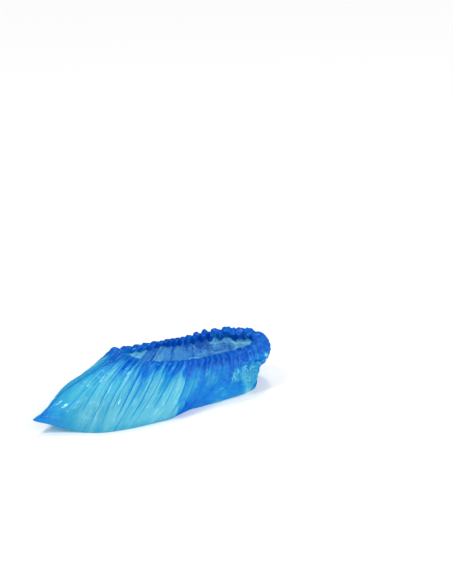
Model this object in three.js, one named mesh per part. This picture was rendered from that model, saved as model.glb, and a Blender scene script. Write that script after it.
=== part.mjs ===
// A disposable film shoe cover in its worn form, without the shoe: a thin bag of blue film that
// stands on its flat sole, with a welded seam over the toe and another up the heel, and a gathered
// hem that is folded over an elastic cord. Millimetres, +Z up, toe towards -Y, inner side of the
// foot towards +X. The origin is under the middle of the cover, on the surface that it stands on.
import * as THREE from "three";

// Driving sizes. The film is far thinner in reality; its wall here is the least that stays solid.
const soleLength = 300; // length of the shoe sole that the cover is pulled over
const soleWidth = 115; // across the ball of the foot
const hemHeight = 74; // floor to the hem's edge over the instep
const wall = 1.2; // film
const seat = 0.3; // gap between pieces that touch
const hemBand = 17; // outer leg of the folded hem, measured down from its edge
const hemReturn = 9; // inner leg of the folded hem
const elasticDiameter = 1.8;
const gatherDepth = 2.6; // crest to trough at the foot of the hem band
const hemScallop = 1.2; // how far the hem's edge waves up and down
const foldDepth = 4; // drag folds between the hem and the toe
const rollDepth = 4.5; // loose film that piles up round the heel
const edgeRadius = 3; // film round the edge of the sole
const seamWidth = 2.5; // welded fin, out from the film
const seamThickness = 1.2;

// Mesh density
const gathers = 34;
const columnsPerGather = 4;
const columns = gathers * columnsPerGather;
const bodyRows = 11;
const elasticSides = 5;

// Each row is one section of the cover, from the edge of the sole up to the hem, in turn round the
// foot. x is a share of soleWidth, y of soleLength, z of hemHeight. low, rise, crown and neck say
// how far the film bulges out from the straight line between the two ends, as shares of hemHeight.
const sections = [
  // the welded corner in front of the toe, then the inner side
  { floor: [0.043, -0.57, 0.25], hem: [0.01, -0.118, 1.0], low: 0.01, rise: 0.1, crown: 0.07, neck: 0.02 },
  { floor: [0.13, -0.497, 0.14], hem: [0.122, -0.115, 0.998], low: 0.1, rise: 0.17, crown: 0.1, neck: 0.03 },
  { floor: [0.27, -0.41, 0.02], hem: [0.235, -0.103, 0.99], low: 0.12, rise: 0.21, crown: 0.14, neck: 0.04 },
  { floor: [0.43, -0.317, 0.0], hem: [0.313, -0.067, 0.965], low: 0.07, rise: 0.13, crown: 0.1, neck: 0.03 },
  { floor: [0.5, -0.167, 0.0], hem: [0.357, 0.055, 0.885], low: 0.05, rise: 0.095, crown: 0.07, neck: 0.02 },
  { floor: [0.465, -0.003, 0.0], hem: [0.37, 0.15, 0.845], low: 0.05, rise: 0.09, crown: 0.06, neck: 0.02 },
  { floor: [0.368, 0.103, 0.0], hem: [0.362, 0.207, 0.825], low: 0.05, rise: 0.09, crown: 0.07, neck: 0.02 },
  { floor: [0.363, 0.243, 0.0], hem: [0.348, 0.273, 0.81], low: 0.045, rise: 0.08, crown: 0.08, neck: 0.03 },
  { floor: [0.352, 0.38, 0.0], hem: [0.322, 0.353, 0.795], low: 0.04, rise: 0.07, crown: 0.11, neck: 0.07 },
  { floor: [0.255, 0.472, 0.0], hem: [0.243, 0.453, 0.785], low: 0.03, rise: 0.065, crown: 0.18, neck: 0.12 },
  // the seam up the heel, then back along the outer side
  { floor: [0.0, 0.507, 0.0], hem: [0.0, 0.52, 0.78], low: 0.02, rise: 0.055, crown: 0.23, neck: 0.16 },
  { floor: [-0.25, 0.472, 0.0], hem: [-0.243, 0.453, 0.785], low: 0.03, rise: 0.065, crown: 0.18, neck: 0.12 },
  { floor: [-0.355, 0.377, 0.0], hem: [-0.322, 0.353, 0.79], low: 0.04, rise: 0.07, crown: 0.11, neck: 0.07 },
  { floor: [-0.39, 0.25, 0.0], hem: [-0.348, 0.273, 0.8], low: 0.045, rise: 0.08, crown: 0.08, neck: 0.03 },
  { floor: [-0.425, 0.127, 0.0], hem: [-0.357, 0.207, 0.81], low: 0.05, rise: 0.08, crown: 0.06, neck: 0.02 },
  { floor: [-0.478, 0.0, 0.0], hem: [-0.365, 0.15, 0.82], low: 0.05, rise: 0.09, crown: 0.05, neck: 0.02 },
  { floor: [-0.5, -0.16, 0.0], hem: [-0.357, 0.055, 0.84], low: 0.05, rise: 0.08, crown: 0.05, neck: 0.02 },
  { floor: [-0.42, -0.307, 0.0], hem: [-0.313, -0.067, 0.9], low: 0.05, rise: 0.08, crown: 0.05, neck: 0.02 },
  { floor: [-0.235, -0.407, 0.03], hem: [-0.226, -0.103, 0.95], low: 0.08, rise: 0.13, crown: 0.08, neck: 0.03 },
  { floor: [-0.06, -0.49, 0.16], hem: [-0.113, -0.115, 0.985], low: 0.09, rise: 0.16, crown: 0.08, neck: 0.02 },
];
const bulgeAt = [0, 0.12, 0.35, 0.66, 0.88, 1];

// Drag folds: from a place on the hem to a place on the sole's edge, both counted in sections
// round the foot. depth is a share of foldDepth, width is in sections.
const dragFolds = [
  { hem: 0.8, floor: 0.9, width: 0.3, depth: 0.5 },
  { hem: 1.5, floor: 1.5, width: 0.26, depth: 0.8 },
  { hem: 2.2, floor: 2.1, width: 0.26, depth: 1 },
  { hem: 2.9, floor: 2.7, width: 0.24, depth: 0.9 },
  { hem: 3.5, floor: 3.2, width: 0.24, depth: 1 },
  { hem: 4.1, floor: 3.7, width: 0.24, depth: 0.9 },
  { hem: 4.8, floor: 4.3, width: 0.28, depth: 1 },
  { hem: 5.6, floor: 5.1, width: 0.3, depth: 1 },
  { hem: 6.6, floor: 6.3, width: 0.3, depth: 0.7 },
  { hem: 7.7, floor: 8.1, width: 0.28, depth: 0.8 },
  { hem: 12.4, floor: 12.0, width: 0.28, depth: 0.8 },
  { hem: 13.5, floor: 13.6, width: 0.3, depth: 0.7 },
  { hem: 14.6, floor: 15.1, width: 0.3, depth: 1 },
  { hem: 15.5, floor: 16.0, width: 0.28, depth: 0.9 },
  { hem: 16.3, floor: 16.7, width: 0.24, depth: 1 },
  { hem: 17.1, floor: 17.3, width: 0.24, depth: 0.9 },
  { hem: 17.8, floor: 17.9, width: 0.26, depth: 1 },
  { hem: 18.5, floor: 18.5, width: 0.26, depth: 0.8 },
  { hem: 19.2, floor: 19.1, width: 0.3, depth: 0.5 },
];

// Rolls of loose film that lie round the heel, one above the other. up is the share of the way
// from floor to hem, height is how much of it the roll takes, depth is a share of rollDepth.
const heelRolls = [
  { up: 0.3, height: 0.07, depth: 0.35, lean: 0.03 },
  { up: 0.5, height: 0.07, depth: 0.7, lean: -0.05 },
  { up: 0.68, height: 0.07, depth: 1, lean: 0.04 },
];
const rollSpan = 2.6; // sections to each side of the heel seam that the rolls reach

const heelSection = sections.length / 2;

// A periodic smooth curve through values, at a place counted in sections
function roundLoop(values, place) {
  const n = values.length;
  const at = ((place % n) + n) % n;
  const i = Math.floor(at);
  const t = at - i;
  const [a, b, c, d] = [-1, 0, 1, 2].map((k) => values[(i + k + n) % n]);
  return b + 0.5 * t * (c - a + t * (2 * a - 5 * b + 4 * c - d + t * (3 * (b - c) + d - a)));
}

// A smooth curve through (knots, values) for one section's bulge
function alongProfile(values, up) {
  let i = 0;
  while (i < bulgeAt.length - 2 && up > bulgeAt[i + 1]) i += 1;
  const slope = (k) => {
    const lo = Math.max(0, k - 1);
    const hi = Math.min(bulgeAt.length - 1, k + 1);
    return (values[hi] - values[lo]) / (bulgeAt[hi] - bulgeAt[lo]);
  };
  const span = bulgeAt[i + 1] - bulgeAt[i];
  const t = (up - bulgeAt[i]) / span;
  const h = t * t * (3 - 2 * t);
  return (
    values[i] * (1 - h) +
    values[i + 1] * h +
    span * t * (1 - t) * (slope(i) * (1 - t) - slope(i + 1) * t)
  );
}

const size = [soleWidth, soleLength, hemHeight];
const column = (pick) => (place) => roundLoop(sections.map(pick), place);
const floorAt = size.map((s, k) => column((row) => row.floor[k] * s));
const hemAt = size.map((s, k) => column((row) => row.hem[k] * s));
const bulges = ["low", "rise", "crown", "neck"].map((name) => column((row) => row[name] * hemHeight));

const floorPoint = (place) => {
  const [x, y, z] = floorAt.map((f) => f(place));
  return new THREE.Vector3(x, y, Math.max(z, 0)); // the film lies flat where the floor stops it
};
const hemPoint = (place) => new THREE.Vector3(...hemAt.map((f) => f(place)));
const chordLength = (place) => floorPoint(place).distanceTo(hemPoint(place));

// The plain film, with no folds. up runs from 0 at the sole's edge to 1 at the hem's edge.
function plainPoint(place, up) {
  const chord = (p) => floorPoint(p).lerp(hemPoint(p), up);
  const round = chord(place + 0.05).sub(chord(place - 0.05));
  const rise = hemPoint(place).sub(floorPoint(place));
  const out = round.cross(rise).normalize();
  const values = [0, ...bulges.map((b) => b(place)), 0];
  return chord(place).addScaledVector(out, alongProfile(values, up));
}

function plainNormal(place, up) {
  const round = plainPoint(place + 0.05, up).sub(plainPoint(place - 0.05, up));
  const rise = plainPoint(place, Math.min(up + 0.02, 1)).sub(plainPoint(place, Math.max(up - 0.02, 0)));
  return round.cross(rise).normalize();
}

const ease = (t) => {
  const c = THREE.MathUtils.clamp(t, 0, 1);
  return c * c * (3 - 2 * c);
};
const bump = (t) => Math.exp(-t * t);

function sectionsApart(a, b) {
  const n = sections.length;
  const d = ((a - b) % n + n) % n;
  return Math.min(d, n - d);
}

// How far the folds push the film out at a place
function foldOut(place, up) {
  const phase = (place / sections.length) * gathers * 2 * Math.PI;
  const uneven = 0.75 + 0.25 * Math.sin(phase * 0.39) * Math.cos(phase * 0.23);
  const gather = 0.5 * gatherDepth * Math.cos(phase) * uneven * ease((up - 0.45) / 0.4);
  const settle = 1 - 0.5 * ease((up - 0.85) / 0.15);
  const fade = ease(up / 0.25) * ease((1 - up) / 0.3);
  const drag = dragFolds.reduce((sum, fold) => {
    const middle = THREE.MathUtils.lerp(fold.floor, fold.hem, up);
    return sum + fold.depth * bump(sectionsApart(place, middle) / fold.width);
  }, 0);
  const heel = ease(1 - sectionsApart(place, heelSection) / rollSpan);
  const roll = heelRolls.reduce((sum, row) => {
    const level = row.up + row.lean * (place - heelSection);
    return sum + row.depth * bump((up - level) / row.height);
  }, 0);
  return gather * settle + 0.5 * foldDepth * drag * fade + 0.5 * rollDepth * roll * heel;
}

function filmPoint(place, up) {
  return plainPoint(place, up).addScaledVector(plainNormal(place, up), foldOut(place, up));
}

// The level direction round the cover, at one section
const alongHem = (place) => hemPoint(place + 0.05).sub(hemPoint(place - 0.05)).setZ(0).normalize();

const placeOf = (i) => (i / columns) * sections.length;
const bandStart = (place) => 1 - hemBand / chordLength(place);
const around = (make) => Array.from({ length: columns }, (_, i) => make(placeOf(i)));

// The film's own normal, folds included, from its neighbours one column and one row away
function filmNormal(place, up, step) {
  const half = sections.length / columns;
  const round = filmPoint(place + half, up).sub(filmPoint(place - half, up));
  const rise = filmPoint(place, Math.min(up + step, 1)).sub(filmPoint(place, Math.max(up - step, 0)));
  return round.cross(rise).normalize();
}

// Skins rings of points, each ring closed. With wrap the last ring joins the first; without it the
// first and last ring are closed by strips across.
function skin(rings, wrap) {
  const n = rings[0].length;
  const position = rings.flat().flatMap((p) => [p.x, p.y, p.z]);
  const index = [];
  const quad = (a, b, c, d) => index.push(a, b, c, a, c, d);
  const strips = wrap ? rings.length : rings.length - 1;
  for (let k = 0; k < strips; k += 1) {
    const low = k * n;
    const high = ((k + 1) % rings.length) * n;
    for (let i = 0; i < n; i += 1) {
      const j = (i + 1) % n;
      quad(low + i, low + j, high + j, high + i);
    }
  }
  const across = (base, flip) => {
    const triangle = (a, b, c) => index.push(base + a, base + (flip ? c : b), base + (flip ? b : c));
    for (let i = 0; i < n / 2; i += 1) {
      const far = n - i;
      if (i > 0) triangle(i, far % n, far - 1);
      if (i + 1 < n / 2) triangle(i, far - 1, i + 1);
    }
  };
  if (!wrap) {
    across(0, false);
    across((rings.length - 1) * n, true);
  }
  const geometry = new THREE.BufferGeometry();
  geometry.setAttribute("position", new THREE.Float32BufferAttribute(position, 3));
  geometry.setIndex(index);
  geometry.computeVertexNormals();
  return geometry;
}

// The film's rows, from the edge of the sole up to the foot of the hem band
const rowUp = (place, k) => (bandStart(place) - seat / chordLength(place)) * (k / bodyRows) ** 0.9;

const edgeLift = 0.6 * edgeRadius;
const tipColumns = 3;
const filmRow = (place, k) => {
  const point = filmPoint(place, rowUp(place, k));
  return k === 0 ? point.setZ(point.z + edgeLift) : point;
};
const rowNormal = (place, k) => filmNormal(place, rowUp(place, k), 0.5 / bodyRows);

// The bag: up the outside, over the rim under the hem, and down the inside to the inner sole
function filmBody() {
  const levelOut = (place) => plainNormal(place, 0).setZ(0).normalize();
  const tuck = (depth, height) => {
    const ring = around((place) => {
      const foot = floorPoint(place);
      const across = foot.distanceTo(floorPoint(sections.length - place));
      const room = across > 0 ? Math.min(depth, 0.4 * across) : depth; // both sides close in on the toe
      return foot.addScaledVector(levelOut(place), -room).setZ(foot.z + height);
    });
    ring[0].setZ((ring[1].z + ring[columns - 1].z) / 2);
    return ring;
  };
  const soleOutside = tuck(edgeRadius, 0);
  const soleInside = tuck(edgeRadius + wall, wall);
  const outer = [];
  const inner = [];
  for (let k = 0; k <= bodyRows; k += 1) {
    outer.push(around((place) => filmRow(place, k)));
    inner.push(around((place) => filmRow(place, k).addScaledVector(rowNormal(place, k), -wall)));
  }
  inner[0].forEach((p, i) => {
    const fromTip = Math.min(i, columns - i);
    if (fromTip > tipColumns) p.setZ(soleInside[i].z + edgeLift);
    // At the tip of the toe both sides meet, so the inside stays level with the outer edge there
    else p.copy(outer[0][i]).addScaledVector(levelOut(placeOf(i)), -wall * (fromTip === 0 ? 2 : 1));
  });
  return skin([soleOutside, ...outer, ...inner.reverse(), soleInside], false);
}

// A point of the hem's own cross-section: down from its edge and in from its outer face
function hemFrame(place, down) {
  const up = 1 - down / chordLength(place);
  const point = filmPoint(place, up);
  const inward = plainNormal(place, up).negate();
  return { point, inward };
}

function hemPlace(place, down, depth, lift = 0) {
  const { point, inward } = hemFrame(place, Math.max(down, 0));
  const phase = (place / sections.length) * gathers * 2 * Math.PI;
  const wave = 0.5 * hemScallop * Math.cos(phase) * (1 - down / hemBand);
  point.addScaledVector(inward, depth);
  return point.setZ(point.z + wave + lift);
}

const channel = elasticDiameter + 4 * seat; // the space that the folded hem leaves for the cord

function gatheredHem() {
  const back = 2 * wall + channel;
  const shoulder = wall + 0.25 * channel;
  const ring = (down, depth, lift) => around((place) => hemPlace(place, down, depth, lift));
  return skin(
    [
      ring(hemBand, 0),
      ring(hemBand * 0.5, 0),
      ring(shoulder, 0),
      ring(0, wall),
      ring(0, back - wall),
      ring(shoulder, back),
      ring(hemReturn, back),
      ring(hemReturn, back - wall),
      ring(wall + 0.1 * channel, back - wall),
      ring(wall + 0.1 * channel, wall),
      ring(hemBand * 0.5, wall),
      ring(hemBand, wall),
    ],
    true,
  );
}

function elasticCord() {
  const radius = elasticDiameter / 2;
  const middleDepth = wall + channel / 2;
  const middleDown = wall + 0.1 * channel + 2 * seat + radius;
  const rings = Array.from({ length: elasticSides }, (_, k) => {
    const angle = (k / elasticSides) * 2 * Math.PI;
    const down = middleDown + radius * Math.cos(angle);
    const depth = middleDepth - radius * Math.sin(angle);
    return around((place) => hemPlace(place, down, depth));
  });
  return skin(rings, true);
}

// A welded fin along one section, just clear of the film and ending under the hem
function weldedFin(place) {
  const side = alongHem(place).multiplyScalar(0.5 * seamThickness);
  const rings = [];
  for (let k = 0; k <= bodyRows; k += 1) {
    const out = rowNormal(place, k);
    const foot = filmRow(place, k).addScaledVector(out, seat);
    const tip = foot.clone().addScaledVector(out, seamWidth);
    rings.push([foot.clone().sub(side), tip.clone().sub(side), tip.add(side), foot.add(side)]);
  }
  return skin(rings, false);
}

const film = (color) => new THREE.MeshStandardMaterial({ color, roughness: 0.3, metalness: 0 });
const elasticMaterial = new THREE.MeshStandardMaterial({ color: 0xe8ecf2, roughness: 0.8, metalness: 0 });

const cover = new THREE.Group();
function add(name, geometry, material) {
  const mesh = new THREE.Mesh(geometry, material);
  mesh.name = name;
  cover.add(mesh);
}

add("film_body", filmBody(), film(0x3aa5dc));
add("gathered_hem", gatheredHem(), film(0x1c63cc));
add("elastic_cord", elasticCord(), elasticMaterial);
add("toe_seam", weldedFin(0), film(0x2f86d2));
add("heel_seam", weldedFin(heelSection), film(0x1f6fc4));

// The origin goes under the middle of the finished cover
const box = new THREE.Box3().setFromObject(cover);
const middle = box.getCenter(new THREE.Vector3());
cover.position.set(-middle.x, -middle.y, -box.min.z);

export default cover;
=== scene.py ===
# A disposable film shoe cover in its worn form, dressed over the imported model. Metres, +Z up, toe
# towards -Y, inner side of the foot towards +X.
import math

import bpy
import numpy as np
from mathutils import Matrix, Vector


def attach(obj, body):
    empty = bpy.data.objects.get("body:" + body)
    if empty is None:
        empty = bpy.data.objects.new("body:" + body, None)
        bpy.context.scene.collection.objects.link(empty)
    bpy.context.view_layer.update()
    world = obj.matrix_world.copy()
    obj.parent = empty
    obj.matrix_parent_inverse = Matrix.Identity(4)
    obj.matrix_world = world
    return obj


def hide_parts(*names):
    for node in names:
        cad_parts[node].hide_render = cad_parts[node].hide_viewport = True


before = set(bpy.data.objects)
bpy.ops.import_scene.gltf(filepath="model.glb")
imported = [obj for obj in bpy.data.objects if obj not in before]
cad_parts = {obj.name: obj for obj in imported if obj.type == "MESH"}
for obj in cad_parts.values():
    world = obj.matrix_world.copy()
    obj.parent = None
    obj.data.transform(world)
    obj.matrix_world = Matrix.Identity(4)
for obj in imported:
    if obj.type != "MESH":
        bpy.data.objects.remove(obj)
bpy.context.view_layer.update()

MM = 0.001

# Driving sizes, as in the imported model
SOLE_LENGTH = 300 * MM
SOLE_WIDTH = 115 * MM
HEM_HEIGHT = 74 * MM
HEM_BAND = 17 * MM
HEM_RETURN = 9 * MM
SEAM_WIDTH = 2.5 * MM
ELASTIC_DIAMETER = 1.8 * MM
FRAME_ORIGIN = Vector((0.18, 2.66, 0.0)) * MM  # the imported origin, seen from the middle of the sole

# Each row is one section of the cover, from the edge of the sole up to the hem, in turn round the
# foot from the toe seam by the inner side. floor x, y, z and hem x, y, z are shares of the sole's
# width and length and of the hem's height; low, rise, crown and neck are how far the film bulges
# out from the straight line between the two, as shares of the hem's height.
SECTIONS = [
    # floor x, y, z, hem x, y, z, low, rise, crown, neck
    (0.043, -0.57, 0.25, 0.01, -0.118, 1.0, 0.01, 0.1, 0.07, 0.02),
    (0.13, -0.497, 0.14, 0.122, -0.115, 0.998, 0.1, 0.17, 0.1, 0.03),
    (0.27, -0.41, 0.02, 0.235, -0.103, 0.99, 0.12, 0.21, 0.14, 0.04),
    (0.43, -0.317, 0.0, 0.313, -0.067, 0.965, 0.07, 0.13, 0.1, 0.03),
    (0.5, -0.167, 0.0, 0.357, 0.055, 0.885, 0.05, 0.095, 0.07, 0.02),
    (0.465, -0.003, 0.0, 0.37, 0.15, 0.845, 0.05, 0.09, 0.06, 0.02),
    (0.368, 0.103, 0.0, 0.362, 0.207, 0.825, 0.05, 0.09, 0.07, 0.02),
    (0.363, 0.243, 0.0, 0.348, 0.273, 0.81, 0.045, 0.08, 0.08, 0.03),
    (0.352, 0.38, 0.0, 0.322, 0.353, 0.795, 0.04, 0.07, 0.11, 0.07),
    (0.255, 0.472, 0.0, 0.243, 0.453, 0.785, 0.03, 0.065, 0.18, 0.12),
    # the heel seam, then back along the outer side
    (0.0, 0.507, 0.0, 0.0, 0.52, 0.78, 0.02, 0.055, 0.23, 0.16),
    (-0.25, 0.472, 0.0, -0.243, 0.453, 0.785, 0.03, 0.065, 0.18, 0.12),
    (-0.355, 0.377, 0.0, -0.322, 0.353, 0.79, 0.04, 0.07, 0.11, 0.07),
    (-0.39, 0.25, 0.0, -0.348, 0.273, 0.8, 0.045, 0.08, 0.08, 0.03),
    (-0.425, 0.127, 0.0, -0.357, 0.207, 0.81, 0.05, 0.08, 0.06, 0.02),
    (-0.478, 0.0, 0.0, -0.365, 0.15, 0.82, 0.05, 0.09, 0.05, 0.02),
    (-0.5, -0.16, 0.0, -0.357, 0.055, 0.84, 0.05, 0.08, 0.05, 0.02),
    (-0.42, -0.307, 0.0, -0.313, -0.067, 0.9, 0.05, 0.08, 0.05, 0.02),
    (-0.235, -0.407, 0.03, -0.226, -0.103, 0.95, 0.08, 0.13, 0.08, 0.03),
    (-0.06, -0.49, 0.16, -0.113, -0.115, 0.985, 0.09, 0.16, 0.08, 0.02),
]
BULGE_AT = np.array([0, 0.12, 0.35, 0.66, 0.88, 1])
HEEL_SECTION = len(SECTIONS) / 2

# Tension folds: place along the hem and width, both in sections, and depth as a share of the usual one
TENSION_FOLDS = [
    (0.4, 0.10, 0.5), (0.8, 0.12, 0.9), (1.15, 0.08, 0.5), (1.45, 0.12, 1.1), (1.8, 0.08, 0.6),
    (2.1, 0.12, 1.1), (2.4, 0.08, 0.7), (2.7, 0.12, 1.2), (3.0, 0.08, 0.7), (3.3, 0.11, 1.1),
    (3.6, 0.08, 0.7), (3.9, 0.12, 1.2), (4.2, 0.09, 0.8), (4.55, 0.13, 1.3), (5.0, 0.15, 1.5),
    (5.6, 0.2, 1.6), (6.5, 0.22, 0.8), (7.7, 0.22, 0.8),
    (12.4, 0.22, 0.7), (13.5, 0.22, 0.8), (14.5, 0.18, 1.3), (15.1, 0.13, 1.1), (15.6, 0.12, 1.0),
    (16.0, 0.09, 0.8), (16.35, 0.12, 1.1), (16.7, 0.08, 0.7), (17.05, 0.12, 1.1), (17.4, 0.08, 0.7),
    (17.8, 0.12, 1.1), (18.2, 0.08, 0.6), (18.55, 0.12, 1.1), (18.95, 0.08, 0.5), (19.35, 0.12, 0.8),
]

# The deep tucks that part the toe from the heel: place along the hem, width, depth and lean to the heel
TUCKS = [(4.25, 0.55, 2.6, 0.75), (5.9, 0.4, 1.4, 0.45), (14.6, 0.6, 2.2, 0.5), (7.4, 0.35, 1.2, -0.5)]

# The creases of crushed film: knots up the cover, depth in millimetres, and whether they are sharp
CREASES = [(11, 2.4, True), (20, 1.8, False), (36, 1.7, True), (56, 0.7, False)]

GATHERS = 46
FINE_PLEATS = 90
TOE_LEAN = 0.95  # how far the toe's tension lines lean back from hem to sole, in sections
LEAN_START = 0.9
LEAN_FADE = 2.8

# How far each cause moves the film from its plain surface
GATHER_DEPTH = 1.5 * MM
GATHER_SLIDE = 1.2 * MM
FOLD_DEPTH = 1.3 * MM
BUCKLE_DEPTH = 0.5 * MM
HEEL_BUCKLE_DEPTH = 1.6 * MM
PLEAT_DEPTH = 0.9 * MM
GATHER_RELIEF = 1.7  # in pleat depths
CRINKLE_DEPTH = 0.6 * MM
FINE_CRINKLE_DEPTH = 0.35 * MM
STREAK_DEPTH = 0.55 * MM
FINE_STREAK_DEPTH = 0.3 * MM
HEEL_LIFT = 0.9 * MM
HEM_LIFT = 0.6 * MM
INNER_SPREAD = 4.5 * MM
OUTER_SPREAD = 3 * MM

# Spare film between the sole and the elastic, as shares of the plain film's length
EVEN_SPARE = 0.012
SIDE_SPARE = 0.11
HEM_SPARE = 0.24
HEEL_SPARE = 0.16

# How far the settled film may lie inside, outside and along its plain surface, by kind of row
LOWEST = {"body": -1.4 * MM, "band": -0.2 * MM, "edge": -1.4 * MM, "return": -3.2 * MM}
HIGHEST = {"body": 3.4 * MM, "band": 3.4 * MM, "edge": 1.9 * MM, "return": 0.2 * MM}
DRIFT = {"body": 2.5 * MM, "band": 2.5 * MM, "edge": 1.0 * MM, "return": 2.5 * MM}
HEEL_DRIFT = 1.2 * MM
LOWEST_FOLD = 0.2 * MM  # a fold stays this far above the plane of the sole
LOWEST_CRINKLE = 0.1 * MM

# The sheet's grid
COLUMNS = 1080
BODY_ROWS = 74
BAND_ROWS = 16
EDGE_ROWS = 6
RETURN_ROWS = 8
SOLE_RINGS = 10
EDGE_SHARE = 0.06  # how much of the band its rounded edge takes

# Points this many rows or columns apart are kept from folding together
BEND_STEP = 3
LONG_STEP = 7

# Small steps for slopes, in sections round the cover and as a share of its height
PLACE_STEP = 0.05
UP_STEP = 0.02
TINY = 1e-12  # keeps a length of 0 from dividing

# Every random draw comes from this one
rng = np.random.default_rng(7)


def smooth(t):
    """0 below 0, 1 above 1 and a soft rise between."""
    t = np.clip(t, 0, 1)
    return t * t * (3 - 2 * t)


def hump(values, middle, width):
    """1 at middle, and soon 0 on both sides."""
    return np.exp(-(((values - middle) / width) ** 2))


def round_loop(values, place):
    """A periodic smooth curve through the rows of values, at places counted in sections."""
    n = len(values)
    at = np.mod(place, n)
    i = np.floor(at).astype(int)
    t = (at - i)[..., None]
    a, b, c, d = (values[(i + k) % n] for k in (-1, 0, 1, 2))
    return b + 0.5 * t * (c - a + t * (2 * a - 5 * b + 4 * c - d + t * (3 * (b - c) + d - a)))


def along_profile(values, up):
    """How far the film bulges out at up; values has one column for each of BULGE_AT."""
    up = np.broadcast_to(up, values.shape[:-1])
    last = len(BULGE_AT) - 1
    i = np.clip(np.searchsorted(BULGE_AT, up, side="right") - 1, 0, last - 1)

    def take(k):
        return np.take_along_axis(values, k[..., None], -1)[..., 0]

    def slope(k):
        low, high = np.maximum(k - 1, 0), np.minimum(k + 1, last)
        return (take(high) - take(low)) / (BULGE_AT[high] - BULGE_AT[low])

    span = BULGE_AT[i + 1] - BULGE_AT[i]
    t = (up - BULGE_AT[i]) / span
    h = smooth(t)
    straight = take(i) * (1 - h) + take(i + 1) * h
    return straight + span * t * (1 - t) * (slope(i) * (1 - t) - slope(i + 1) * t)


def unit(v):
    return v / np.maximum(np.linalg.norm(v, axis=-1, keepdims=True), TINY)


TABLE = np.array(SECTIONS)
SCALE = np.array([SOLE_WIDTH, SOLE_LENGTH, HEM_HEIGHT])
FLOOR_ROWS = TABLE[:, 0:3] * SCALE
HEM_ROWS = TABLE[:, 3:6] * SCALE
BULGES = np.pad(TABLE[:, 6:10] * HEM_HEIGHT, ((0, 0), (1, 1)))


def floor_point(place):
    """The edge of the sole, never under the floor."""
    point = round_loop(FLOOR_ROWS, place)
    point[..., 2] = np.maximum(point[..., 2], 0)
    return point


def hem_point(place):
    """The edge of the hem."""
    return round_loop(HEM_ROWS, place)


def plain_point(place, up):
    """The plain film, with no folds; up runs from 0 at the sole's edge to 1 at the hem's edge."""
    place, up = np.broadcast_arrays(place, up)

    def chord(p):
        low, high = floor_point(p), hem_point(p)
        return low + (high - low) * up[..., None]

    around = chord(place + PLACE_STEP) - chord(place - PLACE_STEP)
    rise = hem_point(place) - floor_point(place)
    out = unit(np.cross(around, rise))
    return chord(place) + out * along_profile(round_loop(BULGES, place), up)[..., None]


def plain_normal(place, up):
    """Straight out of the plain film."""
    around = plain_point(place + PLACE_STEP, up) - plain_point(place - PLACE_STEP, up)
    rise = plain_point(place, np.minimum(up + UP_STEP, 1)) - plain_point(place, np.maximum(up - UP_STEP, 0))
    return unit(np.cross(around, rise))


def apart(a, b):
    """How many sections lie between two places, by the shorter way round."""
    n = len(SECTIONS)
    d = np.mod(a - b, n)
    return np.minimum(d, n - d)


def wander(count, size, amount):
    """A smooth periodic random line: count knots, sampled at size places."""
    knots = rng.uniform(-1, 1, (count, 1)) * amount
    return round_loop(knots, np.arange(size) / size * count)[:, 0]


def rough(rows, cols, knots_up, knots_round, amount):
    """A smooth random field, periodic round the cover."""
    knots = rng.uniform(-1, 1, (knots_up, knots_round)) * amount
    rounded = round_loop(knots.T, np.arange(cols) / cols * knots_round).T
    at = np.linspace(0, knots_up - 1, rows)
    i = np.clip(np.floor(at).astype(int), 0, knots_up - 2)
    t = smooth(at - i)[:, None]
    return rounded[i] * (1 - t) + rounded[i + 1] * t


# The sheet of film as a grid: rows go up the outside, over the elastic and down the inside
place_line = np.arange(COLUMNS) / COLUMNS * len(SECTIONS)
chord_length = np.linalg.norm(hem_point(place_line) - floor_point(place_line), axis=-1)
band_start = 1 - HEM_BAND / chord_length
return_start = 1 - HEM_RETURN / chord_length
LEG = 0.5 * ELASTIC_DIAMETER + 0.5 * MM  # from the middle of the elastic to each leg of the hem


def sheet_rows():
    """Up-share, offset from the hem's outer leg and kind of every row of the sheet."""
    rows = []
    for k in range(BODY_ROWS):
        rows.append((band_start * (k / BODY_ROWS) ** 0.95, 0.0, "body"))
    for k in range(BAND_ROWS):
        t = k / BAND_ROWS
        rows.append((band_start + (1 - band_start) * t * (1 - EDGE_SHARE), 0.0, "band"))
    for k in range(EDGE_ROWS):
        angle = math.pi * (k + 0.5) / EDGE_ROWS
        rows.append((1 - (1 - math.sin(angle)) * LEG / chord_length, -LEG * (1 - math.cos(angle)), "edge"))
    for k in range(RETURN_ROWS):
        t = (k + 1) / RETURN_ROWS
        rows.append((1 - LEG / chord_length - (1 - return_start) * t, -2 * LEG, "return"))
    row_ups, row_offsets, row_kinds = zip(*rows)
    return np.array(row_ups), np.array(row_offsets), np.array(row_kinds)


ups, offsets, kinds = sheet_rows()
ROWS = len(ups)


def twist(place):
    """How far the tension lines lean away from the toe seam as they run down to the sole."""
    n = len(SECTIONS)
    side = np.where(place < n / 2, 1, -1)
    from_toe = np.minimum(place, n - place)
    lean = side * TOE_LEAN * smooth(from_toe / LEAN_START)
    return lean * (1 - smooth((from_toe - LEAN_START) / LEAN_FADE))


places = place_line + twist(place_line) * (1 - np.minimum(ups / band_start, 1))
plain = plain_point(places, ups)
normals = plain_normal(places, ups)


def gather_waves():
    """Uneven gathers that grow towards the hem: their height, their sideways slide and their round tops."""
    phase = place_line / len(SECTIONS) * GATHERS * 2 * math.pi + wander(37, COLUMNS, 1.5)
    size = 0.75 + wander(61, COLUMNS, 0.45)
    lean = wander(29, COLUMNS, 0.7)
    sway = rough(ROWS, COLUMNS, 9, 40, 0.5)
    p = phase[None] + sway
    wave = np.cos(p) + 0.35 * np.cos(2 * p + lean[None])
    slide = np.sin(p + lean[None])
    return wave * size[None], slide * size[None], np.abs(np.cos(0.5 * p))


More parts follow.
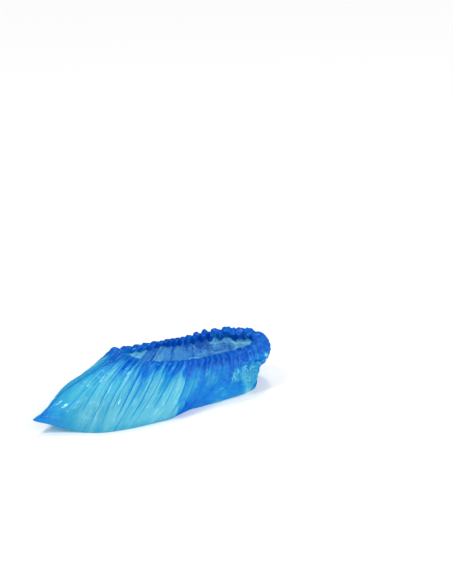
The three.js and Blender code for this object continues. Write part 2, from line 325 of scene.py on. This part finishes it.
def tension_wave():
    """The soft rise of the tension folds, out of each one's place along the hem."""
    total = np.zeros(ups.shape)
    for hem_place, width, depth in TENSION_FOLDS:
        total += depth * hump(apart(place_line, hem_place), 0, width)
    fade = smooth(ups / 0.12) * smooth((1 - ups) / 0.25)
    return total * fade


wave, slide, dome = gather_waves()
taut = smooth((5.3 - apart(place_line, 0)) / 1.2)  # 1 at the toe, where the foot stretches the film
heel_share = smooth(1 - (apart(places, HEEL_SECTION) / 3.4) ** 2)
AROUND = unit(np.roll(plain, -1, axis=1) - np.roll(plain, 1, axis=1))

push = (
    GATHER_DEPTH * wave * smooth((ups - 0.35) / 0.6) ** 1.5
    + FOLD_DEPTH * tension_wave()
    + rough(ROWS, COLUMNS, 30, 160, BUCKLE_DEPTH) * smooth(ups / 0.15) * (1 - 0.9 * taut)
    + rough(ROWS, COLUMNS, 16, 60, HEEL_BUCKLE_DEPTH) * heel_share * smooth(ups / 0.3)
)
middle = plain + normals * offsets[:, None, None]
film = middle + normals * push[..., None]
film += AROUND * (GATHER_SLIDE * slide * smooth((ups - 0.5) / 0.5) ** 2)[..., None]
film[0] = plain[0]


def pull(sheet, down, across, rest, stiffness, only_short=False):
    """Moves each point and its neighbour down rows and across columns away towards their rest length."""
    rows = len(sheet) - down
    gap = np.roll(sheet[down:], -across, axis=1) - sheet[:rows]
    length = np.linalg.norm(gap, axis=-1)
    share = (length - rest) / np.maximum(length, TINY)
    if only_short:
        share = np.minimum(share, 0)
    move = gap * (0.25 * stiffness * share)[..., None]
    sheet[:rows] += move
    sheet[down:] -= np.roll(move, across, axis=1)


def by_kind(table, row_kinds):
    """A table's value for each row, as a column."""
    return np.array([table[kind] for kind in row_kinds])[:, None]


class FilmGrid:
    """The plain film at every few rows and columns, with the spare length and the room that it has."""

    def __init__(self, row_step, column_step):
        self.rows = np.unique(np.append(np.arange(0, ROWS, row_step), ROWS - 1))
        self.columns = np.arange(0, COLUMNS, column_step)
        pick = np.ix_(self.rows, self.columns)
        up, place, heel = ups[pick], places[pick], heel_share[pick]
        self.middle, self.normals = middle[pick], normals[pick]
        self.take_spare(up, place, heel)
        self.take_room(up, heel, kinds[self.rows])

    def take_spare(self, up, place, heel):
        """Rest lengths round and up the cover, and how much longer the film is than its plain surface."""
        toe = smooth(1 - apart(place, 0) / 2.2)
        slack = 1 - 0.85 * smooth((6.2 - apart(place, 0)) / 1.6)
        near_hem = HEM_SPARE * smooth((up - 0.66) / 0.34)
        side_spare = EVEN_SPARE + SIDE_SPARE * slack * smooth((up - 0.15) / 0.5)
        self.round_spare = (side_spare + near_hem) * (1 - 0.35 * toe)
        self.up_spare = (EVEN_SPARE + HEEL_SPARE * heel * smooth((up - 0.1) / 0.3))[:-1]
        round_way = np.roll(self.middle, -1, axis=1) - self.middle
        up_way = self.middle[1:] - self.middle[:-1]
        long_way = self.middle[LONG_STEP:] - self.middle[:-LONG_STEP]
        self.round_rest = np.linalg.norm(round_way, axis=-1)
        self.up_rest = np.linalg.norm(up_way, axis=-1)
        self.skew = np.sum(unit(round_way[:-1]) * unit(up_way), axis=-1)
        self.long_rest = np.linalg.norm(long_way, axis=-1) * (1 - 0.2 * heel[:-LONG_STEP])

    def take_room(self, up, heel, row_kinds):
        """How far each point may leave the plain surface."""
        self.low = by_kind(LOWEST, row_kinds)
        high = by_kind(HIGHEST, row_kinds) * (0.4 + 0.6 * smooth((up - 0.3) / 0.6))
        self.high = high * (1 + 0.9 * heel * smooth((up - 0.2) / 0.3))
        self.drift = by_kind(DRIFT, row_kinds) + HEEL_DRIFT * heel

    def settle(self, sheet, steps, stiff, grow_from=0.0):
        """Lets the spare film buckle between the sole and the elastic, held close to the plain surface."""
        first = sheet[0].copy()
        for step in range(steps):
            grown = grow_from + (1 - grow_from) * smooth((step + 1) / (0.6 * steps))
            round_now = self.round_rest * (1 + grown * self.round_spare)
            up_now = self.up_rest * (1 + grown * self.up_spare)
            square = round_now[:-1] ** 2 + up_now**2
            lean = 2 * round_now[:-1] * up_now * self.skew
            pull(sheet, 0, 1, round_now, 1.0)
            pull(sheet, 1, 0, up_now, 1.0)
            pull(sheet, 1, 1, np.sqrt(square + lean), 0.3)
            other_square = np.roll(square - lean, 1, axis=1)
            pull(sheet, 1, -1, np.sqrt(np.maximum(other_square, TINY)), 0.3)
            pull(sheet, 0, BEND_STEP, BEND_STEP * round_now * stiff, 0.6, only_short=True)
            pull(sheet, BEND_STEP, 0, BEND_STEP * up_now[: 1 - BEND_STEP] * 0.97, 0.8, only_short=True)
            pull(sheet, LONG_STEP, 0, self.long_rest, 0.8, only_short=True)
            away = sheet - self.middle
            out = np.sum(away * self.normals, axis=-1)
            along = away - self.normals * out[..., None]
            drift = np.linalg.norm(along, axis=-1)
            along *= np.minimum(1, self.drift / np.maximum(drift, TINY))[..., None]
            sheet[:] = self.middle + self.normals * np.clip(out, self.low, self.high)[..., None] + along
            sheet[..., 2] = np.maximum(sheet[..., 2], LOWEST_FOLD)
            sheet[0] = first


def spread(coarse, grid):
    """A coarse grid's offsets, smoothly spread over the whole sheet."""
    shift = coarse - grid.middle
    knots = np.moveaxis(shift, 1, 0)
    wide = round_loop(knots.reshape(len(knots), -1), np.arange(COLUMNS) / COLUMNS * len(knots))
    wide = np.moveaxis(wide.reshape(COLUMNS, len(grid.rows), 3), 0, 1)
    at = np.interp(np.arange(ROWS), grid.rows, np.arange(len(grid.rows)))
    i = np.clip(np.floor(at).astype(int), 0, len(grid.rows) - 2)
    t = (at - i)[:, None, None]
    before, after = wide[np.maximum(i - 1, 0)], wide[np.minimum(i + 2, len(grid.rows) - 1)]
    a, b = wide[i], wide[i + 1]
    curve = 2 * before - 5 * a + 4 * b - after + t * (3 * (a - b) + after - before)
    return middle + a + 0.5 * t * (b - before + t * curve)


coarse_grid = FilmGrid(row_step=2, column_step=3)
coarse = film[np.ix_(coarse_grid.rows, coarse_grid.columns)].copy()
coarse_grid.settle(coarse, steps=220, stiff=0.9)
film = spread(coarse, coarse_grid)
fine_grid = FilmGrid(row_step=1, column_step=1)
fine_grid.settle(film, steps=30, stiff=0.96, grow_from=1.0)


def pleat(place, width, top, foot, lean=0.0):
    """A straight pleat from its top down to its foot, and a line of painted shade in its trough; it is
    steep on the heel's side.
    """
    n = len(SECTIONS)
    side = 1 if place < n / 2 else -1
    gap = side * (np.mod(place_line - place + n / 2, n) - n / 2) - lean * (1 - ups)
    rise = hump(gap, 0, np.where(gap < 0, width, 0.3 * width))
    valley_shade_line = hump(gap, 0.4 * width, 0.3 * width)
    reach = smooth((ups - foot) / 0.3) * smooth((top - ups) / 0.15)
    return rise * reach, valley_shade_line * reach


def pleated():
    """The relief of all pleats, and the painted shade in their troughs."""
    relief, valley_shade = np.zeros(ups.shape), np.zeros(ups.shape)
    wobble = rough(ROWS, COLUMNS, 7, 12, 0.35)
    for place, width, depth in TENSION_FOLDS:
        rise, valley_shade_line = pleat(place, width, 1.02, rng.uniform(-0.1, 0.2), rng.uniform(-0.08, 0.08))
        relief += depth * rise
        valley_shade += 0.8 * min(depth, 1) * valley_shade_line
    for k in range(FINE_PLEATS):
        place = rng.uniform(0.3, 6.5) if k % 2 else rng.uniform(14, 19.7)
        foot = rng.uniform(0.0, 0.6)
        width = rng.uniform(0.04, 0.07)
        top = foot + rng.uniform(0.3, 0.6)
        rise, valley_shade_line = pleat(place, width, top, foot, rng.uniform(-0.15, 0.15))
        relief += rng.uniform(0.2, 0.5) * rise
        valley_shade += 0.35 * valley_shade_line
    for place, width, depth, lean in TUCKS:
        rise, valley_shade_line = pleat(place, width, 1.0, -0.25, lean + wobble)
        relief += depth * rise
        valley_shade += 0.5 * valley_shade_line
    return relief, np.minimum(valley_shade, 1)


def crumple():
    """The creases of crushed film, from random fields folded at zero, and their sharp edges."""
    folds, edges = np.zeros(ups.shape), np.zeros(ups.shape)
    for knots, amount, sharp in CREASES:
        field = np.abs(rough(ROWS, COLUMNS, knots, 8 * knots, 1))
        folds += amount * MM * (0.7 - field if sharp else field)
        if sharp:
            edges = np.maximum(edges, 1 - smooth(field / 0.1))
    return folds, edges


# Pleats, gathers and the crushed film of the heel
relief, valley_shade = pleated()
relief += GATHER_RELIEF * (dome - 0.65) * smooth((ups - 0.7) / 0.22)
# Painted shade in the troughs between the gathers near the hem
valley_shade = np.minimum(valley_shade + 0.6 * (1 - smooth(dome / 0.4)) * smooth((ups - 0.66) / 0.25), 1)
outer = np.isin(kinds, ["body", "band"])[:, None] * smooth((1 - ups) / 0.05)
crushed = heel_share * smooth((ups - 0.36) / 0.36)
crushed *= 1 - 0.4 * smooth((ups - 0.78) / 0.15)
creases, edges = crumple()
film = film + normals * (PLEAT_DEPTH * relief + crushed * creases * outer)[..., None]
film[..., 2] = np.maximum(film[..., 2], LOWEST_FOLD)

# Fine crinkles where the film is slack, and fine streaks where it is taut
crinkle = np.abs(rough(ROWS, COLUMNS, 34, 300, CRINKLE_DEPTH))
crinkle += np.abs(rough(ROWS, COLUMNS, 52, 460, FINE_CRINKLE_DEPTH))
crinkle *= 0.5 + 0.7 * smooth((ups - 0.45) / 0.3)
fine, finer = np.abs(rough(ROWS, COLUMNS, 7, 210, 1)), np.abs(rough(ROWS, COLUMNS, 9, 380, 1))
streaks = (STREAK_DEPTH * fine + FINE_STREAK_DEPTH * finer) * smooth((ups - 0.05) / 0.3)
calm = 0.92 * taut * (1 - smooth((ups - 0.75) / 0.2))
film += normals * ((crinkle * (1 - calm) + streaks * taut) * outer)[..., None]
lift = wander(110, COLUMNS, HEEL_LIFT) * heel_share + wander(150, COLUMNS, HEM_LIFT)
film[..., 2] += lift * smooth((ups - 0.75) / 0.2)
film[..., 2] = np.maximum(film[..., 2], LOWEST_CRINKLE)

# Painted highlights: thin light lines on sharp creases, on the taut streaks and on the crests of the
# gathers
edge_glow = 0.16 + 0.2 * hump(place_line, 7.4, 0.7)
bright = edge_glow * edges * (1 - taut) * smooth((ups - 0.1) / 0.2)
bright += 0.10 * taut * (1 - smooth(fine / 0.12))
bright += 0.14 * smooth((dome - 0.86) / 0.14) * smooth((ups - 0.7) / 0.2)

# Behind the ball of the foot the loose film spreads on the floor
level_out = unit(normals[0] * (1, 1, 0))
spread_width = INNER_SPREAD * hump(place_line, 6.6, 1.5) + OUTER_SPREAD * hump(place_line, 13.4, 1.5)
film += level_out[None] * (spread_width * (1 - smooth(ups / 0.16)))[..., None]


def sheet_normals(sheet):
    """Straight out of the folded film at each point of its grid."""
    around = np.roll(sheet, -1, axis=1) - np.roll(sheet, 1, axis=1)
    rise = np.gradient(sheet, axis=0)
    return unit(np.cross(around, rise))


def film_density(sheet):
    """The film's layer count behind each point, from 0 for one to 1 for many, with painted shade added and
    painted highlights taken away.
    """
    # Painted shade on the sides of folds, where the film turns away from its plain surface
    tilt_shade = 1 - np.abs(np.sum(sheet_normals(sheet) * normals, axis=-1))
    ragged = rough(ROWS, COLUMNS, 4, 60, 0.16) + rough(ROWS, COLUMNS, 3, 170, 0.10)
    from_toe = apart(place_line, 0)
    near_hem = smooth((ups + ragged - 0.6) / 0.4)
    doubled = smooth((ups - band_start + 0.05 + 0.5 * ragged) / 0.12)
    rear = smooth((from_toe - 4.2 - 0.75 * (1 - ups) - 1.2 * ragged) / 0.15)
    patch = np.clip(1.6 * rough(ROWS, COLUMNS, 5, 34, 0.9), -0.46, 0.36)
    pocket = rear * smooth((6.6 - from_toe) / 1.2) * (1 - smooth((ups - 0.1) / 0.35))
    heel = heel_share * smooth((ups + ragged - 0.45) / 0.4)
    tip = smooth((1.3 - from_toe) / 1.0) * (1 - smooth(ups / 0.4))
    ridge = hump(from_toe, 0, 0.38)
    # Painted shade low along the floor; at the rear it turns lighter, a painted teal of light shining
    # through the film onto the floor
    floor_edge_light_and_shade = 1 - smooth(ups / 0.2)
    # Painted glints: thin light lines on the crushed film of the heel
    glint_lines = 1 - smooth(np.abs(rough(ROWS, COLUMNS, 40, 330, 1)) / 0.12)
    glint = glint_lines * heel_share * smooth((ups - 0.55) / 0.2)
    layers_and_painted_light = (
        0.09 - bright + 0.30 * near_hem + 0.22 * doubled
        + rear * (0.37 + 0.5 * patch) + 0.24 * pocket + 0.18 * heel + 0.18 * tip + 0.28 * ridge
        # painted shade in the hollows of the heel's crushed creases, lighter on their ridges
        + 0.35 * crushed * (1 - creases / creases.mean()) + 0.55 * tilt_shade
        + floor_edge_light_and_shade * (0.10 - 0.34 * rear) - 0.42 * glint + 0.35 * ragged + 0.42 * valley_shade
    )
    return np.clip(layers_and_painted_light, 0, 1)


density_and_painted_light = film_density(film)


def mesh_object(name, verts, faces, layers_and_painted_light):
    """A smooth mesh that carries at each point its film's layer count, with painted shade and highlights.
    """
    mesh = bpy.data.meshes.new(name)
    mesh.from_pydata([tuple(v) for v in verts], [], faces)
    mesh.update()
    film_layers_and_painted_light = mesh.attributes.new("film_layers_and_painted_light", "FLOAT", "POINT")
    film_layers_and_painted_light.data.foreach_set("value", np.ravel(layers_and_painted_light).astype("f"))
    for poly in mesh.polygons:
        poly.use_smooth = True
    obj = bpy.data.objects.new(name, mesh)
    bpy.context.scene.collection.objects.link(obj)
    return obj


def grid_faces(rows, cols):
    """The quads between the rows of a sheet that closes round on itself."""
    faces = []
    for r in range(rows - 1):
        low, high = r * cols, (r + 1) * cols
        for c in range(cols):
            d = (c + 1) % cols
            faces.append((low + c, low + d, high + d, high + c))
    return faces


def to_frame(points):
    """Points from the middle of the sole as rows of x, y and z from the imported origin."""
    return points.reshape(-1, 3) - np.array(FRAME_ORIGIN)


# The film's colour from one layer to many, with a lightest tone below one layer for painted highlights, and
# the clear tint of what it lets through
FILM_TONES = [
    # the lightest tone is painted highlight
    (0.0, (0.42, 0.80, 0.86)),
    (0.08, (0.20, 0.66, 0.74)),
    (0.27, (0.045, 0.42, 0.64)),
    (0.54, (0.002, 0.22, 0.66)),
    (1.0, (0.001, 0.11, 0.56)),
]
CLEAR_TINT = (0.35, 0.86, 0.97, 1)
GLOSS_TINT = (0.55, 0.93, 1, 1)
FILM_ROUGHNESS = 0.13
TRANSLUCENT_SHARE = 0.38
GLOSS_SHARE = 0.024


def film_material(name):
    """Thin film: coloured and more opaque the higher its layer count and painted shade, lighter where
    highlights are painted, with a weak gloss.
    """
    mat = bpy.data.materials.new(name)
    mat.use_nodes = True
    nodes, links = mat.node_tree.nodes, mat.node_tree.links

    def mix(first, second):
        mixed = nodes.new("ShaderNodeMixShader")
        links.new(first, mixed.inputs[1])
        links.new(second, mixed.inputs[2])
        return mixed

    layers_and_painted_light = nodes.new("ShaderNodeAttribute")
    layers_and_painted_light.attribute_name = "film_layers_and_painted_light"
    tone = nodes.new("ShaderNodeValToRGB")
    elements = tone.color_ramp.elements
    while len(elements) < len(FILM_TONES):
        elements.new(0.5)
    for element, (at, colour) in zip(elements, FILM_TONES):
        element.position = at
        element.color = (*colour, 1)
    links.new(layers_and_painted_light.outputs["Fac"], tone.inputs["Fac"])
    opacity = nodes.new("ShaderNodeMapRange")
    opacity.inputs["To Min"].default_value = 0.64
    opacity.inputs["To Max"].default_value = 0.97
    links.new(layers_and_painted_light.outputs["Fac"], opacity.inputs["Value"])

    crinkle = nodes.new("ShaderNodeTexNoise")
    crinkle.inputs["Scale"].default_value = 260
    crinkle.inputs["Detail"].default_value = 3
    where = nodes.new("ShaderNodeTexCoord")
    links.new(where.outputs["Object"], crinkle.inputs["Vector"])
    bump = nodes.new("ShaderNodeBump")
    bump.inputs["Strength"].default_value = 0.1
    bump.inputs["Distance"].default_value = 0.0006
    links.new(crinkle.outputs["Fac"], bump.inputs["Height"])

    skin = nodes["Principled BSDF"]
    skin.inputs["Roughness"].default_value = FILM_ROUGHNESS
    skin.inputs["Specular IOR Level"].default_value = 0.0
    links.new(tone.outputs["Color"], skin.inputs["Base Color"])
    links.new(bump.outputs["Normal"], skin.inputs["Normal"])
    through = nodes.new("ShaderNodeBsdfTranslucent")
    links.new(tone.outputs["Color"], through.inputs["Color"])
    clear = nodes.new("ShaderNodeBsdfTransparent")
    clear.inputs["Color"].default_value = CLEAR_TINT
    gloss = nodes.new("ShaderNodeBsdfGlossy")
    gloss.inputs["Color"].default_value = GLOSS_TINT
    gloss.inputs["Roughness"].default_value = FILM_ROUGHNESS
    links.new(bump.outputs["Normal"], gloss.inputs["Normal"])

    body = mix(skin.outputs["BSDF"], through.outputs["BSDF"])
    body.inputs["Fac"].default_value = TRANSLUCENT_SHARE
    cover = mix(clear.outputs["BSDF"], body.outputs["Shader"])
    links.new(opacity.outputs["Result"], cover.inputs["Fac"])
    shine = mix(cover.outputs["Shader"], gloss.outputs["BSDF"])
    shine.inputs["Fac"].default_value = GLOSS_SHARE
    links.new(shine.outputs["Shader"], nodes["Material Output"].inputs["Surface"])
    return mat


film_mat = film_material("blue_film")

# The bag: rings from the middle line of the sole out to its edge, then up to the hem
SOLE_LAYERS = 0.2
body = film[: BODY_ROWS + 1]
sole_edge = film[0]
opposite = sole_edge[-np.arange(COLUMNS) % COLUMNS]
rings = [sole_edge + (opposite - sole_edge) * (0.5 * (k + 1) / (SOLE_RINGS + 1)) for k in range(SOLE_RINGS)]
sheet = np.concatenate([np.array(rings[::-1]), body])
faces = grid_faces(len(sheet), COLUMNS)
half = COLUMNS // 2
for i in range(half):
    far = COLUMNS - i
    if i > 0:
        faces.append((i, far, far - 1))
    if i + 1 < half:
        faces.append((i, far - 1, i + 1))
sheet_layers_and_painted_light = np.concatenate([np.full((SOLE_RINGS, COLUMNS), SOLE_LAYERS), density_and_painted_light[: len(body)]])
film_body = mesh_object("film_bag", to_frame(sheet), faces, sheet_layers_and_painted_light)
film_body.data.materials.append(film_mat)
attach(film_body, "root")
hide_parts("film_body")

# The hem: the band, its rounded edge and the part turned in
hem = film[BODY_ROWS:]
gathered = mesh_object("gathered_edge", to_frame(hem), grid_faces(len(hem), COLUMNS), density_and_painted_light[BODY_ROWS:])
gathered.data.materials.append(film_mat)
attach(gathered, "root")
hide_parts("gathered_hem")

# The elastic runs inside the fold, where its film was turned over it
ROW_IN_FRONT = BODY_ROWS + BAND_ROWS - 4
ROW_BEHIND = BODY_ROWS + BAND_ROWS + EDGE_ROWS + 2
STRETCHED_RADIUS = 0.32 * ELASTIC_DIAMETER
ELASTIC_SIDES = 8
ELASTIC_STEP = 2
NEIGHBOURS = 4


def elastic_ring():
    """A tube along the fold, no wider than the room that the film leaves round it."""
    inside = 0.38 * film[ROW_IN_FRONT] + 0.62 * film[ROW_BEHIND]
    fold = sum(np.roll(inside, k, axis=0) for k in (-1, 0, 1)) / 3
    shifts = range(-NEIGHBOURS, NEIGHBOURS + 1)
    near = [np.linalg.norm(np.roll(hem, k, axis=1) - fold, axis=-1).min(axis=0) for k in shifts]
    gap = np.min(near, axis=0)[::ELASTIC_STEP, None]
    line = fold[::ELASTIC_STEP]
    ahead = unit(np.roll(line, -1, axis=0) - np.roll(line, 1, axis=0))
    side = unit(np.cross(ahead, (0, 0, 1)))
    top = np.cross(side, ahead)
    radius = np.minimum(STRETCHED_RADIUS, 0.5 * gap)
    turns = [2 * math.pi * k / ELASTIC_SIDES for k in range(ELASTIC_SIDES)]
    tube = [line + radius * (math.cos(t) * side + math.sin(t) * top) for t in turns]
    return np.array(tube + [tube[0]])


tube = elastic_ring()
elastic_faces = grid_faces(*tube.shape[:2])
elastic = mesh_object("elastic", to_frame(tube), elastic_faces, np.zeros(tube.shape[:2]))
elastic_mat = bpy.data.materials.new("elastic")
elastic_mat.use_nodes = True
elastic_skin = elastic_mat.node_tree.nodes["Principled BSDF"]
elastic_skin.inputs["Base Color"].default_value = (0.1, 0.38, 0.78, 1)
elastic_skin.inputs["Roughness"].default_value = 0.7
elastic.data.materials.append(elastic_mat)
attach(elastic, "root")
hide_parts("elastic_cord")

# The welds at the toe and up the heel
WELD_LAYERS = 0.35
WELD_HALF_THICKNESS = 0.12 * MM
WELD_ROOT = 0.2 * MM  # how deep the weld starts in the film
LOWEST_WELD = 0.05 * MM


def welded_seam(name, node, column):
    """A narrow crinkled weld that stands out from the film along one column."""
    count = BODY_ROWS - 1
    rows = np.arange(count)
    foot = film[rows, column]
    out = unit(normals[rows, column] + rough(count, 4, 24, 4, 0.35)[:, :1] * AROUND[rows, column])
    wide = SEAM_WIDTH * (0.85 + rough(count, 4, 18, 4, 0.25)[:, :1])
    half = WELD_HALF_THICKNESS * AROUND[rows, column]
    root = WELD_ROOT * out
    one_side, other_side = foot - half, foot + half
    verts = np.array([one_side - root, one_side + wide * out, other_side + wide * out, other_side - root])
    verts[..., 2] = np.maximum(verts[..., 2], LOWEST_WELD)
    faces = []
    for k in range(4):
        for r in range(count - 1):
            a, b = k * count + r, (k + 1) % 4 * count + r
            faces.append((a, a + 1, b + 1, b))
    bottom = tuple(k * count for k in range(4))
    top = tuple(k * count + count - 1 for k in (3, 2, 1, 0))
    seam = mesh_object(name, to_frame(verts), faces + [bottom, top], np.full((4, count), WELD_LAYERS))
    seam.data.materials.append(film_mat)
    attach(seam, "root")
    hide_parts(node)


welded_seam("toe_weld", "toe_seam", 0)
welded_seam("heel_weld", "heel_seam", COLUMNS // 2)

# Camera, floor and light
CAMERA_AZIMUTH = math.radians(56)
CAMERA_ELEVATION = math.radians(21.3)
CAMERA_DISTANCE = 3.0
PHOTO_WIDTH, PHOTO_HEIGHT = 452, 584
PIXELS_PER_METRE = 806
SOLE_PIXEL = (148.4, 402.4)  # where the photo shows the middle of the sole
SENSOR = 24

sin_a, cos_a = math.sin(CAMERA_AZIMUTH), math.cos(CAMERA_AZIMUTH)
sin_e, cos_e = math.sin(CAMERA_ELEVATION), math.cos(CAMERA_ELEVATION)
back = Vector((sin_a * cos_e, -cos_a * cos_e, sin_e))
right = Vector((cos_a, sin_a, 0))
above = Vector((-sin_a * sin_e, cos_a * sin_e, cos_e))
sole_middle = -FRAME_ORIGIN
aim = (
    sole_middle
    + right * ((PHOTO_WIDTH / 2 - SOLE_PIXEL[0]) / PIXELS_PER_METRE)
    + above * ((SOLE_PIXEL[1] - PHOTO_HEIGHT / 2) / PIXELS_PER_METRE)
)
camera_data = bpy.data.cameras.new("camera")
camera_data.sensor_fit = "VERTICAL"
camera_data.sensor_height = SENSOR
camera_data.lens = PIXELS_PER_METRE * CAMERA_DISTANCE / PHOTO_HEIGHT * SENSOR
camera_data.clip_end = 50
camera = bpy.data.objects.new("camera", camera_data)
camera.location = sole_middle + back * CAMERA_DISTANCE
camera.rotation_euler = (aim - camera.location).to_track_quat("-Z", "Y").to_euler()
bpy.context.scene.collection.objects.link(camera)
bpy.context.scene.camera = camera

FLOOR_HALF = 6.0
FLOOR_DROP = 0.3 * MM
floor_mesh = bpy.data.meshes.new("floor")
corners = [(x * FLOOR_HALF, y * FLOOR_HALF, 0) for x, y in ((-1, -1), (1, -1), (1, 1), (-1, 1))]
floor_mesh.from_pydata(corners, [], [(0, 1, 2, 3)])
floor = bpy.data.objects.new("floor", floor_mesh)
floor.location.z = -FLOOR_DROP
bpy.context.scene.collection.objects.link(floor)
floor_mat = bpy.data.materials.new("floor")
floor_mat.use_nodes = True
floor_skin = floor_mat.node_tree.nodes["Principled BSDF"]
floor_skin.inputs["Base Color"].default_value = (0.87, 0.87, 0.87, 1)
floor_skin.inputs["Roughness"].default_value = 0.3
floor_mesh.materials.append(floor_mat)

world = bpy.data.worlds.new("world")
bpy.context.scene.world = world
world.use_nodes = True
world.node_tree.nodes["Background"].inputs["Color"].default_value = (1, 1, 1, 1)
world.node_tree.nodes["Background"].inputs["Strength"].default_value = 0.55
bpy.context.scene.view_settings.view_transform = "Standard"


def far_light(name, direction, strength, degrees):
    """A studio light far off in one direction, as wide as degrees seen from the cover."""
    data = bpy.data.lights.new(name, "SUN")
    data.energy = strength
    data.angle = math.radians(degrees)
    light = bpy.data.objects.new(name, data)
    light.rotation_euler = (-Vector(direction)).to_track_quat("-Z", "Y").to_euler()
    bpy.context.scene.collection.objects.link(light)


far_light("key", (0.05, -0.75, 1.0), 1.1, 10)
far_light("top", (-0.3, 0.25, 1.0), 1.0, 12)
far_light("heel", (0.6, 0.5, 0.55), 0.6, 6)


def strip_light(name, place, power):
    """A tall narrow softbox, which draws thin bright lines along the pleats."""
    data = bpy.data.lights.new(name, "AREA")
    data.shape = "RECTANGLE"
    data.size, data.size_y = 0.1, 1.5
    data.energy = power
    light = bpy.data.objects.new(name, data)
    light.location = place
    light.rotation_euler = (-Vector(place)).to_track_quat("-Z", "Y").to_euler()
    bpy.context.scene.collection.objects.link(light)


strip_light("strip_front", (1.5, -0.8, 0.8), 9)
strip_light("strip_side", (1.7, 0.1, 0.8), 9)
strip_light("strip_back", (1.3, 1.1, 0.8), 8)
